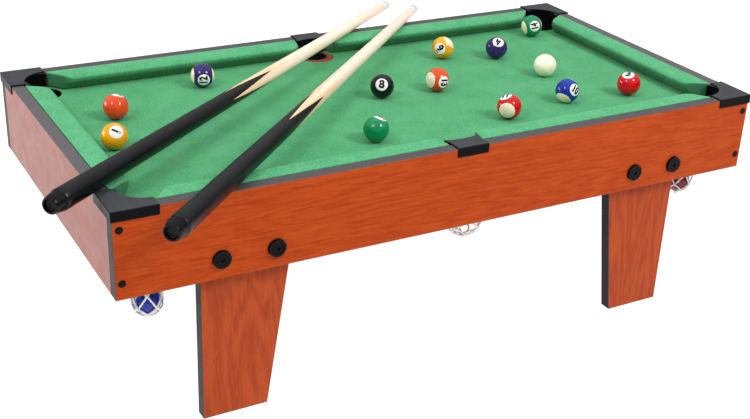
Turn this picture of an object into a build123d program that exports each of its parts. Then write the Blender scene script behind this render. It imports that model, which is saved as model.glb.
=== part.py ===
"""Tabletop pool table: a box of boards on four bolted legs, with a cloth-covered bed, six
cushions, six plastic pocket caps with nets, sixteen balls and two cues. Millimetres, +Z up.
The origin is on the floor, under the middle of the whole set's bounding box."""
import os
from math import cos, radians, sin

from build123d import *

# ---------------------------------------------------------------- driving dimensions
TABLE_LENGTH = 700.0
TABLE_WIDTH = 366.0
APRON_BOTTOM = 152.0                 # height of the aprons' lower edge
APRON_HEIGHT = 82.0
BOARD = 12.5                         # thickness of the aprons and end boards
BED_BELOW_RIM = 16.0                 # playing surface below the top of the rim
CLOTH = 1.0
BED_THICKNESS = 9.0
BALL_RADIUS = 12.7
LIFT_GAP = 0.3                       # between a loose piece and what it rests on
EDGE_CHAMFER = 0.6

# where the middle of the table stands from the middle of the whole set, because the cues overhang
TABLE_X = 24.888
TABLE_Y = 9.68

# ---------------------------------------------------------------- derived heights and halves
HALF_LENGTH = TABLE_LENGTH / 2
HALF_WIDTH = TABLE_WIDTH / 2
RIM = APRON_BOTTOM + APRON_HEIGHT
PLAY = RIM - BED_BELOW_RIM
BED_TOP = PLAY - CLOTH
BED_BOTTOM = BED_TOP - BED_THICKNESS
BED_CLEARANCE = 0.3                  # bed's edge to the boards' inner faces
CORNERS = {"front_left": (-1, -1), "front_right": (1, -1), "back_left": (-1, 1), "back_right": (1, 1)}

# legs: tapered boards on the inner side of the aprons
LEG_OUTER_EDGE = 80.0                # from the table's end
LEG_FOOT_WIDTH = 64.5
LEG_WIDENING = 22.5                  # wider at the apron's lower edge than at the foot
LEG_SPREAD = LEG_WIDENING / APRON_BOTTOM
LEG_THICKNESS = 13.0
LEG_TOP = BED_BOTTOM - 3.0

# leg bolts
BOLTS_FROM_END = (95.5, 147.8)
BOLT_ABOVE_APRON = 19.5
BOLT_RADIUS = 3.0
BOLT_HOLE_RADIUS = 3.1
BOLT_HEAD_RADIUS = 5.2
BOLT_HEAD_HEIGHT = 1.8
SOCKET_FLAT = 4.0
SOCKET_DEPTH = 1.2
WASHER_RADIUS = 8.75
WASHER_THICKNESS = 3.0
WASHER_FLOOR = 1.1
WASHER_RECESS_RADIUS = 5.7
NUT_FLAT = 10.0
NUT_HEIGHT = 5.0
NUT_HOLE_RADIUS = 3.05
BOLT_END = 1.0                       # past the nut
BOLT_LENGTH = WASHER_FLOOR + BOARD + LEG_THICKNESS + NUT_HEIGHT + BOLT_END
WASHER_TAPER = 8.0                   # degrees

# screws through the aprons into the end boards
SCREW_HEIGHTS = (APRON_BOTTOM + 15.7, APRON_BOTTOM + 65.6)
SCREW_HEAD_RADIUS = 3.5
SCREW_HEAD_PROUD = 0.8
SCREW_COUNTERSINK = 2.0
SCREW_RADIUS = 1.7
SCREW_HOLE_RADIUS = 1.8
SCREW_LENGTH = 40.0
SCREW_HOLE_SPARE = 1.0               # the pilot hole runs this much past the screw's end
SCREW_HEAD_GAP = 0.1
SCREW_DOME_TAPER = 30.0              # degrees

# pockets, measured from the two outer faces that meet at a corner, or from the apron's outer face
CORNER_HOLE_AT = 35.0
CORNER_HOLE_RADIUS = 20.5
CORNER_CLOTH_RADIUS = 21.0
CORNER_LINER_RADIUS = 19.8
MIDDLE_HOLE_AT = 28.0
MIDDLE_HOLE_RADIUS = 15.6
MIDDLE_CLOTH_AT = 33.2               # the cloth is cut back here, so that a crescent of the bed shows
MIDDLE_CLOTH_RADIUS = 20.4
MIDDLE_CLOTH_HALF = 16.0             # the cut is this wide out to the apron
MIDDLE_LINER_RADIUS = 15.0
LINER_WALL = 1.2
LINER_BOTTOM = BED_BOTTOM - 5.0
RING_HEIGHT = BED_TOP - 0.2 - LINER_BOTTOM  # full ring that lines the hole and carries the net
LINER_HALF_ANGLE = 60.0              # a corner liner's arc, each side of the diagonal

# pocket caps
CAP_LEG_X, CAP_LEG_Y = 41.5, 44.5    # along the apron, and along the end board
CAP_JAW_DEPTH = 7.0                  # moulded walls beside the hole, up to the cushions' ends
CAP_JAW_GAP = 0.4                    # to the cloth and the cushions' ends
CAP_ARC_AT = 43.0
CAP_ARC_RADIUS = 28.5
CAP_PLATE = 1.6
CAP_SKIRT = 1.0
CAP_SKIRT_HEIGHT = 8.0
CAP_EDGE = 0.5
MIDDLE_CAP_HALF = 17.0
MIDDLE_CAP_TIP_HALF = 19.3
MIDDLE_CAP_DEPTH = 22.0
MIDDLE_CAP_DISH = 3.0

# cushions
CUSHION_INNER = BOARD + 0.3
CUSHION_NOSE = 36.8                  # nose, from the table's outer face
CUSHION_GAP = 0.25                   # above the cloth
CUSHION_CROWN = 1.0                  # the crown stands above the rim
CUSHION_FOOT_BACK = 6.3              # the nose overhangs the foot by this much
CUSHION_BACK_DROP = 2.2              # rounded back edge, below the crown
# points of the section, each (depth behind the nose, drop below the crown)
CUSHION_CHIN = (1.0, 8.5)
CUSHION_TIP = (0.0, 5.5)
CUSHION_BROW = (1.1, 1.9)
CUSHION_FOREHEAD = (4.3, 0.3)
CUSHION_TOP = (13.0, 0.0)
CUSHION_NAPE = (22.2, 0.6)
SIDE_CUT_RIM = 41.8                  # a side cushion's end at the rim, from the table's corner
SIDE_CUT_NOSE = 62.0                 # and at its nose
END_CUT_RIM = 45.0                   # the same for an end cushion
END_CUT_NOSE = 60.5
MIDDLE_CUT_RIM = 17.6                # a cushion's end at the rim, from the middle
MIDDLE_CUT_NOSE = 23.2

# cleats that carry the bed
CLEAT = 15.0
SIDE_CLEAT_FROM_END = (178.0, 326.0)
END_CLEAT_FROM_SIDE = 70.0
CLEAT_SCREW_RADIUS = 1.5
CLEAT_SCREW_HOLE = 1.6
CLEAT_SCREW_HEAD = 3.0
CLEAT_SCREW_HEAD_HEIGHT = 1.2
CLEAT_SCREW_IN_BED = 6.0
CLEAT_SCREW_SPARE = 0.5              # the hole runs this much past the screw's end
CLEAT_SCREW_INSET = 25.0

# nets
NET_WALL = 1.4
NET_TOP = LINER_BOTTOM + 4.0
NET_GAP = 0.1
NET_NECK = 1.0                       # straight part of the neck below the ring
NET_BALL_GAP = 1.0                   # ball to the inside of the net's pouch
NET_POUCH_ANGLES = (0, 30, 60, 78)   # circles of the round pouch, in degrees below its widest
EMPTY_NET_LEAN = 17.5                # an empty middle net hangs out of true by this much along X
EMPTY_NET_FROM_SIDE = 34.0
EMPTY_NET_HEIGHT = 142.0
EMPTY_NET_RADIUS = 19.5
KNOT_RADIUS = 2.5
KNOT_LENGTH = 5.0

# cues
CUE_LENGTH = 678.0
BUTT_RADIUS = 10.0
TIP_RADIUS = 5.4
BUMPER_LENGTH = 12.0
BUMPER_END_RADIUS = 7.6
BUMPER_JOINT_RADIUS = 9.5
BUMPER_ROUND = 0.8
BUTT_EDGE = 0.5                      # chamfer round the wood where the bumper starts
BUMPER_RECESS_RADIUS = 5.6
BUMPER_RECESS_DEPTH = 4.0
FERRULE_LENGTH = 14.0
TIP_LENGTH = 5.0
TIP_ROUND = 1.8
# each cue's butt end from the table's front left corner, and its turn from +Y towards +X in degrees
CUE_ONE_BUTT, CUE_ONE_TURN = (-46.4, 9.3), 52.5
CUE_TWO_BUTT, CUE_TWO_TURN = (24.8, -73.7), 46.4

# ball: (from the left end, from the front), or the pocket net that holds it
BALLS_ON_BED = {
    "ball_cue": (558.5, 174.0),
    "ball_1": (55.9, 163.3),
    "ball_3": (608.4, 88.2),
    "ball_4": (542.1, 247.5),
    "ball_5": (80.8, 235.9),
    "ball_6": (290.6, 81.5),
    "ball_8": (354.8, 185.3),
    "ball_9": (483.5, 271.7),
    "ball_10": (531.2, 96.2),
    "ball_11": (446.2, 81.2),
    "ball_12": (193.2, 289.0),
    "ball_13": (420.2, 180.0),
    "ball_14": (631.8, 303.5),
}
# a corner net's ball: its name and its place from the corner, inward along X and Y, and its height
BALLS_IN_NETS = {
    "front_left": ("ball_2", 39.0, 37.0, 125.0),
    "front_right": ("ball_7", 47.0, 38.0, 130.0),
    "back_right": ("ball_15", 38.0, 38.0, 126.0),
}
EMPTY_NET_AT = (38.0, 37.0, 128.0)   # the same for the corner net with no ball


def level(height):
    """Horizontal plane at a height, centred on the table."""
    return Plane(origin=(TABLE_X, TABLE_Y, height))


def from_corner(corner, u, v):
    """Plan point u inward along X and v inward along Y from one outer corner of the table."""
    side_x, side_y = CORNERS[corner]
    return (side_x * (HALF_LENGTH - u), side_y * (HALF_WIDTH - v))


def corner_box(corner, low, high):
    """Corners of an upright rectangle, from plan point low to plan point high, each (u, v) inward
    along X and Y from one outer corner of the table."""
    (u0, v0), (u1, v1) = low, high
    return [from_corner(corner, u, v) for u, v in ((u0, v0), (u1, v0), (u1, v1), (u0, v1))]


def from_front_left(x, y):
    """Plan point x from the left end and y from the front."""
    return (x - HALF_LENGTH, y - HALF_WIDTH)


def side_plane(x, side, height):
    """Plane on the outer face of the front (side -1) or back (side 1) apron. Its normal points
    inward, so its own y axis points down at the front and up at the back."""
    origin = (TABLE_X + x, TABLE_Y + side * HALF_WIDTH, height)
    return Plane(origin=origin, x_dir=(1, 0, 0), z_dir=(0, -side, 0))


def save(builder, name):
    builder.part.label = name
    export_step(builder.part, f"parts/{name}.step")


# ---------------------------------------------------------------- boards
def screw_planes():
    """Outer ends of the corner screws: one plane for each, normal along the screw."""
    x = HALF_LENGTH - BOARD / 2
    return [side_plane(end * x, side, z) for end in (-1, 1) for side in (-1, 1) for z in SCREW_HEIGHTS]


def bolt_planes():
    """Outer ends of the leg bolts, normal along the bolt."""
    places = [end * (HALF_LENGTH - u) for end in (-1, 1) for u in BOLTS_FROM_END]
    return [side_plane(x, side, APRON_BOTTOM + BOLT_ABOVE_APRON) for side in (-1, 1) for x in places]


def apron(name, side):
    """Long board across the front or the back, over the end boards' ends."""
    with BuildPart() as board:
        with BuildSketch(level(APRON_BOTTOM)):
            with Locations((0, side * (HALF_WIDTH - BOARD / 2))):
                Rectangle(TABLE_LENGTH, BOARD)
        extrude(amount=APRON_HEIGHT)
        chamfer(board.edges(), EDGE_CHAMFER)
        for plane in bolt_planes():
            with BuildSketch(plane):
                Circle(BOLT_HOLE_RADIUS)
            extrude(amount=BOARD, mode=Mode.SUBTRACT)
        for plane in screw_planes():
            with BuildSketch(plane):
                Circle(SCREW_HOLE_RADIUS)
            extrude(amount=BOARD, mode=Mode.SUBTRACT)
            with BuildSketch(plane):
                Circle(SCREW_HEAD_RADIUS)
            with BuildSketch(plane.offset(SCREW_COUNTERSINK)):
                Circle(SCREW_HOLE_RADIUS)
            loft(mode=Mode.SUBTRACT)
    save(board, name)


def end_board(name, side):
    """Short board between the aprons, with pilot holes in its end grain."""
    with BuildPart() as board:
        with BuildSketch(level(APRON_BOTTOM)):
            with Locations((side * (HALF_LENGTH - BOARD / 2), 0)):
                Rectangle(BOARD, TABLE_WIDTH - 2 * BOARD)
        extrude(amount=APRON_HEIGHT)
        chamfer(board.edges().filter_by(Axis.Y), EDGE_CHAMFER)
        for plane in screw_planes():
            with BuildSketch(plane):
                Circle(SCREW_HOLE_RADIUS)
            extrude(amount=SCREW_LENGTH + SCREW_HOLE_SPARE, mode=Mode.SUBTRACT)
    save(board, name)


def leg(corner):
    """Board with a vertical outer edge and a slanting inner edge, bolted behind the apron."""
    side_x, side_y = CORNERS[corner]
    foot_edge = LEG_OUTER_EDGE + LEG_FOOT_WIDTH
    top_edge = foot_edge + LEG_SPREAD * LEG_TOP
    outline = [(LEG_OUTER_EDGE, 0), (foot_edge, 0), (top_edge, LEG_TOP), (LEG_OUTER_EDGE, LEG_TOP)]
    with BuildPart() as board:
        with BuildSketch(side_plane(0, side_y, 0).offset(BOARD)):
            points = [(side_x * (HALF_LENGTH - u), side_y * z) for u, z in outline]
            with BuildLine():
                Polyline(*points, close=True)
            make_face()
        extrude(amount=LEG_THICKNESS)
        chamfer(board.edges(), EDGE_CHAMFER)
        for plane in bolt_planes():
            with BuildSketch(plane):
                Circle(BOLT_HOLE_RADIUS)
            extrude(amount=BOARD + LEG_THICKNESS, mode=Mode.SUBTRACT)
    save(board, f"leg_{corner}")


# ---------------------------------------------------------------- fasteners
def leg_bolts():
    """Socket-head bolts, their heads sunk in the cup washers."""
    with BuildPart() as bolts:
        for plane in bolt_planes():
            head = plane.offset(-WASHER_FLOOR)
            with BuildSketch(head):
                Circle(BOLT_HEAD_RADIUS)
            extrude(amount=-BOLT_HEAD_HEIGHT)
            with BuildSketch(head):
                Circle(BOLT_RADIUS)
            extrude(amount=BOLT_LENGTH)
            with BuildSketch(head.offset(-BOLT_HEAD_HEIGHT)):
                RegularPolygon(SOCKET_FLAT / 2, 6, major_radius=False)
            extrude(amount=SOCKET_DEPTH, mode=Mode.SUBTRACT)
    save(bolts, "leg_bolts")


def leg_bolt_washers():
    """Plastic cup washers with a rounded rim."""
    with BuildPart() as washers:
        for plane in bolt_planes():
            with BuildSketch(plane):
                Circle(WASHER_RADIUS)
            extrude(amount=-WASHER_THICKNESS, taper=WASHER_TAPER)
            with BuildSketch(plane.offset(-WASHER_FLOOR)):
                Circle(WASHER_RECESS_RADIUS)
            extrude(amount=-WASHER_THICKNESS, mode=Mode.SUBTRACT)
            with BuildSketch(plane):
                Circle(BOLT_HOLE_RADIUS)
            extrude(amount=-WASHER_THICKNESS, mode=Mode.SUBTRACT)
    save(washers, "leg_bolt_washers")


def leg_nuts():
    """Hexagon nuts against the legs' inner faces."""
    with BuildPart() as nuts:
        for plane in bolt_planes():
            with BuildSketch(plane.offset(BOARD + LEG_THICKNESS)):
                RegularPolygon(NUT_FLAT / 2, 6, major_radius=False)
                Circle(NUT_HOLE_RADIUS, mode=Mode.SUBTRACT)
            extrude(amount=NUT_HEIGHT)
    save(nuts, "leg_nuts")


def corner_screws():
    """Countersunk screws that hold the aprons to the end boards."""
    with BuildPart() as screws:
        for plane in screw_planes():
            with BuildSketch(plane):
                Circle(SCREW_HEAD_RADIUS - SCREW_HEAD_GAP)
            extrude(amount=-SCREW_HEAD_PROUD, taper=SCREW_DOME_TAPER)
            with BuildSketch(plane):
                Circle(SCREW_HEAD_RADIUS - SCREW_HEAD_GAP)
            with BuildSketch(plane.offset(SCREW_COUNTERSINK)):
                Circle(SCREW_RADIUS)
            loft()
            with BuildSketch(plane):
                Circle(SCREW_RADIUS)
            extrude(amount=SCREW_LENGTH)
    save(screws, "corner_screws")


# ---------------------------------------------------------------- bed
def cut_pockets(corner_radius, middle_at, middle_radius, depth, middle_slot=0):
    """Cuts the four corner notches and two middle holes out of the part being built. A middle
    hole can open to the side by a slot of this half width."""
    with BuildSketch(level(BED_BOTTOM)) as pockets:
        for corner in CORNERS:
            with BuildLine():
                Polyline(*corner_box(corner, (0, 0), (CORNER_HOLE_AT, CORNER_HOLE_AT)), close=True)
            make_face()
            with Locations(from_corner(corner, CORNER_HOLE_AT, CORNER_HOLE_AT)):
                Circle(corner_radius)
        with Locations((0, middle_at - HALF_WIDTH), (0, HALF_WIDTH - middle_at)):
            Circle(middle_radius)
        if middle_slot:
            slot_at = HALF_WIDTH - middle_at / 2
            with Locations((0, -slot_at), (0, slot_at)):
                Rectangle(2 * middle_slot, middle_at)
    extrude(pockets.sketch, amount=depth, mode=Mode.SUBTRACT)


def bed_outline():
    inner_length = TABLE_LENGTH - 2 * (BOARD + BED_CLEARANCE)
    inner_width = TABLE_WIDTH - 2 * (BOARD + BED_CLEARANCE)
    Rectangle(inner_length, inner_width)


def cleat_boxes():
    """Centre and plan size of each cleat."""
    first, last = SIDE_CLEAT_FROM_END
    middle = HALF_LENGTH - (first + last) / 2
    inset = BOARD + CLEAT / 2
    run = TABLE_WIDTH - 2 * END_CLEAT_FROM_SIDE
    boxes = []
    for end in (-1, 1):
        boxes.append((end * (HALF_LENGTH - inset), 0, CLEAT, run))
        for side in (-1, 1):
            boxes.append((end * middle, side * (HALF_WIDTH - inset), last - first, CLEAT))
    return boxes


def cleat_screw_places():
    """Two screws in each cleat, near its ends."""
    places = []
    for x, y, length, width in cleat_boxes():
        step_x = max(0, length / 2 - CLEAT_SCREW_INSET)
        step_y = max(0, width / 2 - CLEAT_SCREW_INSET)
        places += [(x - step_x, y - step_y), (x + step_x, y + step_y)]
    return places


def bed_board():
    with BuildPart() as board:
        with BuildSketch(level(BED_BOTTOM)):
            bed_outline()
        extrude(amount=BED_THICKNESS)
        cut_pockets(CORNER_HOLE_RADIUS, MIDDLE_HOLE_AT, MIDDLE_HOLE_RADIUS, BED_THICKNESS)
        with BuildSketch(level(BED_BOTTOM)):
            with Locations(*cleat_screw_places()):
                Circle(CLEAT_SCREW_HOLE)
        extrude(amount=CLEAT_SCREW_IN_BED + CLEAT_SCREW_SPARE, mode=Mode.SUBTRACT)
    save(board, "bed_board")


def bed_cloth():
    with BuildPart() as cloth:
        with BuildSketch(level(BED_TOP)):
            bed_outline()
        extrude(amount=CLOTH)
        depth = BED_THICKNESS + CLOTH
        cut_pockets(CORNER_CLOTH_RADIUS, MIDDLE_CLOTH_AT, MIDDLE_CLOTH_RADIUS, depth, MIDDLE_CLOTH_HALF)
    save(cloth, "bed_cloth")


def bed_cleats():
    """Square strips glued to the boards' inner faces, under the bed."""
    with BuildPart() as cleats:
        with BuildSketch(level(BED_BOTTOM - CLEAT)):
            for x, y, length, width in cleat_boxes():
                with Locations((x, y)):
                    Rectangle(length, width)
            with Locations(*cleat_screw_places()):
                Circle(CLEAT_SCREW_HOLE, mode=Mode.SUBTRACT)
        extrude(amount=CLEAT)
    save(cleats, "bed_cleats")


def cleat_screws():
    """Screws up through the cleats into the bed."""
    with BuildPart() as screws:
        with BuildSketch(level(BED_BOTTOM - CLEAT)):
            with Locations(*cleat_screw_places()):
                Circle(CLEAT_SCREW_RADIUS)
        extrude(amount=CLEAT + CLEAT_SCREW_IN_BED)
        with BuildSketch(level(BED_BOTTOM - CLEAT)):
            with Locations(*cleat_screw_places()):
                Circle(CLEAT_SCREW_HEAD)
        extrude(amount=-CLEAT_SCREW_HEAD_HEIGHT)
    save(screws, "cleat_screws")


# ---------------------------------------------------------------- cushions
def cushion(name, middle, inward, low, high):
    """Cloth-covered cushion. middle is the plan point on the outer face where the run is measured
    from, inward the unit direction into the table. low and high are the ends along the run, each
    (at the rim, at the nose)."""
    along = (inward[1], -inward[0], 0)
    origin = (TABLE_X + middle[0], TABLE_Y + middle[1], 0)
    section = Plane(origin=origin, x_dir=(*inward, 0), z_dir=along)
    plan = Plane(origin=origin, x_dir=along, z_dir=(0, 0, 1))
    bottom = PLAY + CUSHION_GAP
    top = RIM + CUSHION_CROWN
    reach = max(abs(value) for value in (*low, *high))
    marks = (CUSHION_CHIN, CUSHION_TIP, CUSHION_BROW, CUSHION_FOREHEAD, CUSHION_TOP, CUSHION_NAPE)
    chin, tip, brow, forehead, crown, nape = [(CUSHION_NOSE - depth, top - drop) for depth, drop in marks]
    back = (CUSHION_INNER, top - CUSHION_BACK_DROP)
    foot = (CUSHION_NOSE - CUSHION_FOOT_BACK, bottom)
    with BuildPart() as piece:
        with BuildSketch(section):
            with BuildLine():
                Polyline(nape, back, (CUSHION_INNER, bottom), foot, chin, tip)
                ThreePointArc(tip, brow, forehead)
                ThreePointArc(forehead, crown, nape)
            make_face()
        extrude(amount=reach, both=True)
        with BuildSketch(plan):
            with BuildLine():
                Polyline(
                    (low[0], CUSHION_INNER),
                    (low[1], CUSHION_NOSE),
                    (high[1], CUSHION_NOSE),
                    (high[0], CUSHION_INNER),
                    close=True,
                )
            make_face()
        extrude(amount=top, mode=Mode.INTERSECT)
    save(piece, name)


def cushions():
    side_rim = HALF_LENGTH - SIDE_CUT_RIM
    side_nose = HALF_LENGTH - SIDE_CUT_NOSE
    end_rim = HALF_WIDTH - END_CUT_RIM
    end_nose = HALF_WIDTH - END_CUT_NOSE
    left = ((-side_rim, -side_nose), (-MIDDLE_CUT_RIM, -MIDDLE_CUT_NOSE))
    right = ((MIDDLE_CUT_RIM, MIDDLE_CUT_NOSE), (side_rim, side_nose))
    cushion("cushion_front_left", (0, -HALF_WIDTH), (0, 1), *left)
    cushion("cushion_front_right", (0, -HALF_WIDTH), (0, 1), *right)
    cushion("cushion_back_left", (0, HALF_WIDTH), (0, -1), *right)
    cushion("cushion_back_right", (0, HALF_WIDTH), (0, -1), *left)
    whole = ((-end_rim, -end_nose), (end_rim, end_nose))
    cushion("cushion_left", (-HALF_LENGTH, 0), (1, 0), *whole)
    cushion("cushion_right", (HALF_LENGTH, 0), (-1, 0), *whole)


# ---------------------------------------------------------------- pocket caps
def pocket_ring(centre, radius):
    """Full ring that lines the bed's hole and carries the net."""
    with BuildSketch(level(LINER_BOTTOM)) as ring:
        with Locations(centre):
            Circle(radius)
            Circle(radius - LINER_WALL, mode=Mode.SUBTRACT)
    extrude(ring.sketch, amount=RING_HEIGHT)


def corner_cap(corner):
    """Corner pocket's moulding: top plate with a round bite, outer skirts, liner, jaws beside the
    hole and net ring."""
    hole = from_corner(corner, CORNER_HOLE_AT, CORNER_HOLE_AT)
    outside = (-CAP_SKIRT, -CAP_SKIRT)
    plate = corner_box(corner, outside, (CAP_LEG_X, CAP_LEG_Y))
    # the liner stops at the line across the corner that meets both outer faces here
    liner_end = 2 * CORNER_HOLE_AT - CORNER_LINER_RADIUS * cos(radians(LINER_HALF_ANGLE)) * 2**0.5
    liner_side = [from_corner(corner, u, v) for u, v in ((0, 0), (liner_end, 0), (0, liner_end))]
    jaw_start = (CUSHION_INNER, CUSHION_INNER)
    jaw_side = CUSHION_INNER + CAP_JAW_DEPTH
    jaw_ends = ((SIDE_CUT_RIM - CAP_JAW_GAP, jaw_side), (jaw_side, END_CUT_RIM - CAP_JAW_GAP))
    jaw_foot = PLAY + CAP_JAW_GAP
    with BuildPart() as cap:
        with BuildSketch(level(RIM)):
            with BuildLine():
                Polyline(*plate, close=True)
            make_face()
            with Locations(from_corner(corner, CAP_ARC_AT, CAP_ARC_AT)):
                Circle(CAP_ARC_RADIUS, mode=Mode.SUBTRACT)
        extrude(amount=CAP_PLATE)
        chamfer(cap.faces().sort_by(Axis.Z)[-1].edges(), CAP_EDGE)
        with BuildSketch(level(RIM - CAP_SKIRT_HEIGHT)):
            with BuildLine():
                Polyline(*plate, close=True)
            make_face()
            with BuildLine():
                Polyline(*corner_box(corner, (0, 0), (CAP_LEG_X + 1, CAP_LEG_Y + 1)), close=True)
            make_face(mode=Mode.SUBTRACT)
        extrude(amount=CAP_SKIRT_HEIGHT)
        with BuildSketch(level(LINER_BOTTOM)):
            with Locations(hole):
                Circle(CORNER_LINER_RADIUS)
                Circle(CORNER_LINER_RADIUS - LINER_WALL, mode=Mode.SUBTRACT)
            with BuildLine():
                Polyline(*liner_side, close=True)
            make_face(mode=Mode.INTERSECT)
        extrude(amount=RIM - LINER_BOTTOM)
        with BuildSketch(level(jaw_foot)):
            for jaw_end in jaw_ends:
                with BuildLine():
                    Polyline(*corner_box(corner, jaw_start, jaw_end), close=True)
                make_face()
            with Locations(hole):
                Circle(CORNER_LINER_RADIUS - LINER_WALL, mode=Mode.SUBTRACT)
        extrude(amount=RIM - jaw_foot)
        pocket_ring(hole, CORNER_LINER_RADIUS)
    save(cap, f"corner_cap_{corner}")


def middle_cap(name, side):
    """Middle pocket's moulding: top plate with pointed tips, outer skirt, liner, jaws beside the
    hole and net ring."""
    def place(x, v):
        return (x, side * (HALF_WIDTH - v))

    hole = place(0, MIDDLE_HOLE_AT)
    liner_depth = MIDDLE_CAP_DEPTH - MIDDLE_CAP_DISH
    jaw_foot = PLAY + CAP_JAW_GAP
    with BuildPart() as cap:
        with BuildSketch(level(RIM)):
            with BuildLine():
                Polyline(
                    place(-MIDDLE_CAP_TIP_HALF, MIDDLE_CAP_DEPTH),
                    place(-MIDDLE_CAP_HALF, BOARD),
                    place(-MIDDLE_CAP_HALF, -CAP_SKIRT),
                    place(MIDDLE_CAP_HALF, -CAP_SKIRT),
                    place(MIDDLE_CAP_HALF, BOARD),
                    place(MIDDLE_CAP_TIP_HALF, MIDDLE_CAP_DEPTH),
                )
                ThreePointArc(
                    place(MIDDLE_CAP_TIP_HALF, MIDDLE_CAP_DEPTH),
                    place(0, liner_depth),
                    place(-MIDDLE_CAP_TIP_HALF, MIDDLE_CAP_DEPTH),
                )
            make_face()
        extrude(amount=CAP_PLATE)
        chamfer(cap.faces().sort_by(Axis.Z)[-1].edges(), CAP_EDGE)
        with BuildSketch(level(RIM - CAP_SKIRT_HEIGHT)):
            with Locations(place(0, -CAP_SKIRT / 2)):
                Rectangle(2 * MIDDLE_CAP_HALF, CAP_SKIRT)
        extrude(amount=CAP_SKIRT_HEIGHT)
        with BuildSketch(level(LINER_BOTTOM)):
            with Locations(hole):
                Circle(MIDDLE_LINER_RADIUS)
                Circle(MIDDLE_LINER_RADIUS - LINER_WALL, mode=Mode.SUBTRACT)
            with Locations(place(0, liner_depth / 2)):
                Rectangle(4 * MIDDLE_LINER_RADIUS, liner_depth, mode=Mode.INTERSECT)
        extrude(amount=RIM - LINER_BOTTOM)
        with BuildSketch(level(jaw_foot)):
            with Locations(place(0, (CUSHION_INNER + liner_depth) / 2)):
                Rectangle(2 * (MIDDLE_CUT_RIM - CAP_JAW_GAP), liner_depth - CUSHION_INNER)
            with Locations(hole):
                Circle(MIDDLE_LINER_RADIUS - LINER_WALL, mode=Mode.SUBTRACT)
        extrude(amount=RIM - jaw_foot)
        pocket_ring(hole, MIDDLE_LINER_RADIUS)
    save(cap, name)


# ---------------------------------------------------------------- nets
def net(name, ring_centre, ring_radius, pouch_centre, pouch_height, pouch_radius):
    """Hanging net as a thin bag, open at the top: a straight neck in the cap's ring, sides that
    lead to the pouch, and a round pouch with a knot under it."""
    middle = tuple((ring + pouch) / 2 for ring, pouch in zip(ring_centre, pouch_centre))
    neck_end = LINER_BOTTOM - NET_NECK
    with BuildPart() as bag:
        for shrink, mode in ((0.0, Mode.ADD), (NET_WALL, Mode.SUBTRACT)):
            neck = ring_radius - shrink
            pouch = pouch_radius - shrink
            circles = [
                (ring_centre, NET_TOP, neck),
                (ring_centre, neck_end, neck),
                (middle, (neck_end + pouch_height) / 2, (neck + pouch) / 2),
            ]
            for angle in NET_POUCH_ANGLES:
                height = pouch_height - pouch * sin(radians(angle))
                circles.append((pouch_centre, height, pouch * cos(radians(angle))))
            for centre, height, radius in circles:
                with BuildSketch(level(height)):
                    with Locations(centre):
                        Circle(radius)
            loft(ruled=True, mode=mode)
        with BuildSketch(level(pouch_height - pouch_radius - KNOT_LENGTH / 2)):
            with Locations(pouch_centre):
                Circle(KNOT_RADIUS)
        extrude(amount=KNOT_LENGTH / 2 + NET_WALL / 2)
    save(bag, name)


def nets():
    corner_ring = CORNER_LINER_RADIUS - LINER_WALL - NET_GAP
    for corner in CORNERS:
        u, v, height = EMPTY_NET_AT
        if corner in BALLS_IN_NETS:
            _, u, v, height = BALLS_IN_NETS[corner]
        top = from_corner(corner, CORNER_HOLE_AT, CORNER_HOLE_AT)
        pouch = BALL_RADIUS + NET_BALL_GAP + NET_WALL
        net(f"net_{corner}", top, corner_ring, from_corner(corner, u, v), height, pouch)
    middle_ring = MIDDLE_LINER_RADIUS - LINER_WALL - NET_GAP
    for name, side in (("net_middle_front", -1), ("net_middle_back", 1)):
        top = (0, side * (HALF_WIDTH - MIDDLE_HOLE_AT))
        pouch = (EMPTY_NET_LEAN, side * (HALF_WIDTH - EMPTY_NET_FROM_SIDE))
        net(name, top, middle_ring, pouch, EMPTY_NET_HEIGHT, EMPTY_NET_RADIUS)


# ---------------------------------------------------------------- balls
def ball(name, centre, height):
    with BuildPart(level(height)) as sphere:
        with Locations(centre):
            Sphere(BALL_RADIUS)
    save(sphere, name)


def balls():
    for name, (x, y) in BALLS_ON_BED.items():
        ball(name, from_front_left(x, y), PLAY + LIFT_GAP + BALL_RADIUS)
    for corner, (name, u, v, height) in BALLS_IN_NETS.items():
        ball(name, from_corner(corner, u, v), height)


# ---------------------------------------------------------------- cues
def cue_radius(distance):
    """Radius of a cue at a distance from its butt end."""
    return BUTT_RADIUS + (TIP_RADIUS - BUTT_RADIUS) * distance / CUE_LENGTH


def cue_plane(butt, turn, near, near_height):
    """Plane at a cue's butt end, normal along the cue. The cue lies on a rest of near_height at
    a distance near from the butt, and on the back cushion's crown."""
    heading = (sin(radians(turn)), cos(radians(turn)))
    far = (TABLE_WIDTH - butt[1]) / heading[1]
    low = near_height + LIFT_GAP + cue_radius(near)
    high = RIM + CUSHION_CROWN + LIFT_GAP + cue_radius(far)
    rise = (high - low) / (far - near)
    x, y = from_front_left(*butt)
    origin = (TABLE_X + x, TABLE_Y + y, low - rise * near)
    return Plane(origin=origin, z_dir=(heading[0], heading[1], rise))


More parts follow.
